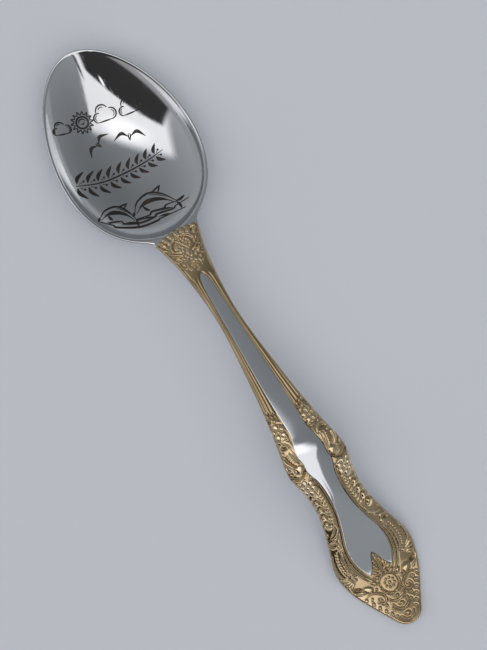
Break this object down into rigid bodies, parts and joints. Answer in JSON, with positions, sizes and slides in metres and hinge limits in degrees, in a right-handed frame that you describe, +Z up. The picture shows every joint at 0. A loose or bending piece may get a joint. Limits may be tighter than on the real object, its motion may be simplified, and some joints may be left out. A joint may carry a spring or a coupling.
{
  "type": "souvenir teaspoon",
  "caption": "Teaspoon with a deep egg-shaped bowl, an arched handle with a gold-plated floral relief border round a mirror panel, and a dark engraved seaside picture in the bowl.",
  "frame": {"origin": "middle of the bounding box's bottom, on the surface that the spoon lies on", "axes": "+Y along the spoon towards the bowl's tip, +Z up out of the bowl, +X to the right"},
  "size_m": [0.0308, 0.14, 0.0153],
  "materials": {
    "polished_steel": "polished stainless steel with fine wear scratches",
    "mirror_steel": "mirror polished stainless steel",
    "gold_plate": "pale gold plating, bright on the relief and darker in its recesses",
    "engraving": "matt near-black oxide of a laser engraving"
  },
  "bodies": {
    "root": {"bowl": "polished_steel", "handle_core": "polished_steel", "mirror_panel": "mirror_steel", "neck_plating": "gold_plate", "neck_shell": "gold_plate", "neck_flower": "gold_plate", "neck_scrolls": "gold_plate", "border_left": "gold_plate", "border_right": "gold_plate", "reeds_left": "gold_plate", "reeds_right": "gold_plate", "upper_flower_left": "gold_plate", "upper_flower_right": "gold_plate", "middle_scroll_left": "gold_plate", "middle_scroll_right": "gold_plate", "lower_flower_left": "gold_plate", "lower_flower_right": "gold_plate", "bead_rows_left": "gold_plate", "bead_rows_right": "gold_plate", "leaves_left": "gold_plate", "leaves_right": "gold_plate", "crest_plating": "gold_plate", "crest_rosette": "gold_plate", "crest_palmette": "gold_plate", "crest_scrolls": "gold_plate", "crest_beads": "gold_plate", "engraved_clouds": "engraving", "engraved_sun": "engraving", "engraved_gulls": "engraving", "engraved_spray": "engraving", "engraved_dolphins": "engraving", "engraved_waves": "engraving"}
  },
  "joints": []
}
